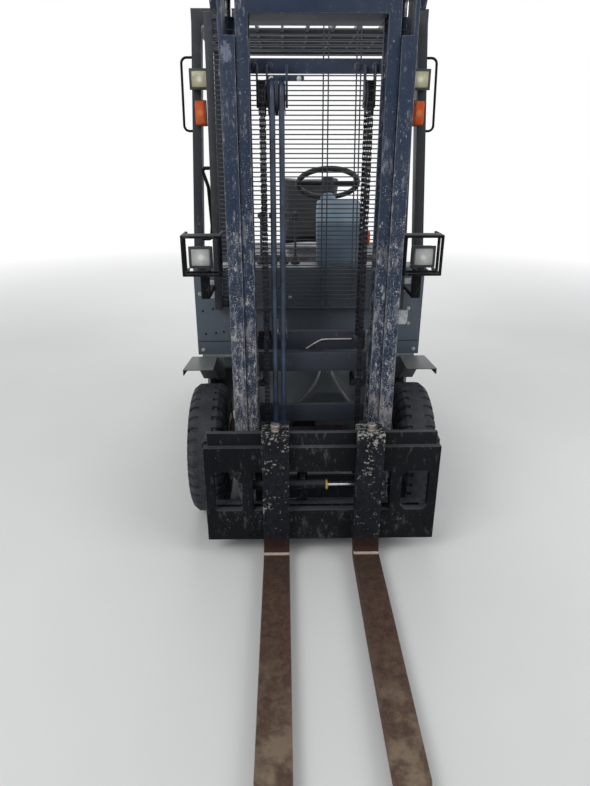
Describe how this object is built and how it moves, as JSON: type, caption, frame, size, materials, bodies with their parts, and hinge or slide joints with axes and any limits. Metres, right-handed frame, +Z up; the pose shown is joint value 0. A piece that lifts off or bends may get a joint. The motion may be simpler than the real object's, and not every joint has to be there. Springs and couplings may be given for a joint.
{
  "type": "counterbalance forklift truck",
  "caption": "Electric counterbalance forklift with a two-stage mast, side-shifting forks, overhead guard, mesh screen, rear steering and tilting seat hood.",
  "frame": {"origin": "on the floor, under the middle of the truck's whole box, forks included", "axes": "+Z up, -Y the way the forks point, +X the driver's left"},
  "size_m": [1.2, 3.67, 2.24],
  "materials": {
    "dark_paint": "satin, dusty",
    "grey_paint": "satin, scuffed",
    "battery_steel": "matt",
    "cast_iron": "rough cast, oily",
    "black_paint": "gloss, chipped",
    "lamp_lens": "ribbed lens",
    "amber_lens": "moulded lens",
    "console_plastic": "grained",
    "black_plastic": "moulded",
    "seat_vinyl": "grained vinyl",
    "navy_paint": "worn, chipped to primer and rust",
    "chromed_rod": "hard chrome",
    "chain_steel": "oiled",
    "hose_rubber": "dusty rubber",
    "worn_fork_steel": "rust-brown, rubbed",
    "bare_steel": "worn",
    "solid_tyre": "worn rubber",
    "rim_paint": "dusty"
  },
  "bodies": {
    "chassis": {"frame": "dark_paint", "cowl": "grey_paint", "front_fenders": "grey_paint", "side_panels": "grey_paint", "counterweight": "grey_paint", "battery": "battery_steel", "overhead_guard": "dark_paint", "mesh_screen": "dark_paint", "drive_axle": "cast_iron", "steer_axle": "cast_iron", "lamp_guards": "black_paint", "white_lamps": "lamp_lens", "signal_lamps": "amber_lens", "steering_console": "console_plastic", "levers": "black_plastic", "pedals": "black_plastic", "feed_hose_left": "hose_rubber", "feed_hose_right": "hose_rubber"},
    "hood": {"hood": "grey_paint", "seat_base": "black_plastic", "seat_cushion": "seat_vinyl", "seat_back": "seat_vinyl"},
    "steering_wheel": {"steering_wheel": "black_plastic"},
    "outer_mast": {"outer_mast_frame": "navy_paint", "lift_barrels": "navy_paint"},
    "inner_mast": {"inner_mast_frame": "navy_paint", "lift_rods": "chromed_rod", "mast_pulleys": "cast_iron", "pulley_wraps": "chain_steel", "chain_front_runs": "chain_steel", "chain_rear_runs": "chain_steel", "hose_front_runs": "hose_rubber", "hose_rear_runs": "hose_rubber"},
    "carriage": {"carriage_frame": "black_paint", "carriage_rollers": "chain_steel", "sideshift_cylinder": "navy_paint"},
    "sideshift": {"sideshift_frame": "black_paint", "sideshift_rod": "chromed_rod", "fork_left": "worn_fork_steel", "fork_right": "worn_fork_steel", "fork_pins": "bare_steel"},
    "front_wheel_left": {"front_tyre_left": "solid_tyre", "front_rim_left": "rim_paint"},
    "front_wheel_right": {"front_tyre_right": "solid_tyre", "front_rim_right": "rim_paint"},
    "knuckle_left": {"knuckle_left": "cast_iron"},
    "knuckle_right": {"knuckle_right": "cast_iron"},
    "rear_wheel_left": {"rear_tyre_left": "solid_tyre", "rear_rim_left": "rim_paint"},
    "rear_wheel_right": {"rear_tyre_right": "solid_tyre", "rear_rim_right": "rim_paint"},
    "tilt_barrels": {"tilt_barrels": "navy_paint"},
    "tilt_rods": {"tilt_rods": "chromed_rod"}
  },
  "joints": [
    {"name": "mast_tilt", "type": "hinge", "parent": "chassis", "child": "outer_mast", "pos_m": [0, -0.195, 0.31], "axis": [1, 0, 0], "range_deg": [-10, 6]},
    {"name": "inner_lift", "type": "slide", "parent": "outer_mast", "child": "inner_mast", "axis": [0, 0, 1], "range_m": [0, 1.5], "deforming": ["chain_rear_runs", "hose_rear_runs"]},
    {"name": "carriage_lift", "type": "slide", "parent": "inner_mast", "child": "carriage", "axis": [0, 0, 1], "range_m": [0, 1.5], "deforming": ["chain_front_runs", "hose_front_runs"]},
    {"name": "side_shift", "type": "slide", "parent": "carriage", "child": "sideshift", "axis": [1, 0, 0], "range_m": [-0.132, 0.068]},
    {"name": "front_spin_left", "type": "hinge", "parent": "chassis", "child": "front_wheel_left", "pos_m": [-0.4775, -0.195, 0.31], "axis": [1, 0, 0], "continuous": true},
    {"name": "front_spin_right", "type": "hinge", "parent": "chassis", "child": "front_wheel_right", "pos_m": [0.4775, -0.195, 0.31], "axis": [1, 0, 0], "continuous": true},
    {"name": "steer_left", "type": "hinge", "parent": "chassis", "child": "knuckle_left", "pos_m": [-0.36, 1.405, 0.25], "axis": [0, 0, 1], "range_deg": [-75, 75]},
    {"name": "steer_right", "type": "hinge", "parent": "chassis", "child": "knuckle_right", "pos_m": [0.36, 1.405, 0.25], "axis": [0, 0, 1], "range_deg": [-75, 75]},
    {"name": "rear_spin_left", "type": "hinge", "parent": "knuckle_left", "child": "rear_wheel_left", "pos_m": [-0.485, 1.405, 0.25], "axis": [1, 0, 0], "continuous": true},
    {"name": "rear_spin_right", "type": "hinge", "parent": "knuckle_right", "child": "rear_wheel_right", "pos_m": [0.485, 1.405, 0.25], "axis": [1, 0, 0], "continuous": true},
    {"name": "hood_open", "type": "hinge", "parent": "chassis", "child": "hood", "pos_m": [0, 1.09, 0.95], "axis": [-1, 0, 0], "range_deg": [0, 55]},
    {"name": "steering_turn", "type": "hinge", "parent": "chassis", "child": "steering_wheel", "pos_m": [0.1, 0.325, 1.5], "axis": [0, 0.5, 0.866], "continuous": true},
    {"name": "tilt_barrel_swing", "type": "hinge", "parent": "chassis", "child": "tilt_barrels", "pos_m": [0, 0.365, 0.43], "axis": [1, 0, 0], "range_deg": [-4, 3]},
    {"name": "tilt_rod_slide", "type": "slide", "parent": "tilt_barrels", "child": "tilt_rods", "axis": [0, -0.8869, 0.4621], "range_m": [-0.07, 0.045]}
  ],
  "couplings": [
    {"joint": "carriage_lift", "follows": "inner_lift", "ratio": 1},
    {"joint": "steer_right", "follows": "steer_left", "ratio": 1},
    {"joint": "tilt_barrel_swing", "follows": "mast_tilt", "ratio": 0.336},
    {"joint": "tilt_rod_slide", "follows": "mast_tilt", "m_per_rad": 0.37}
  ]
}
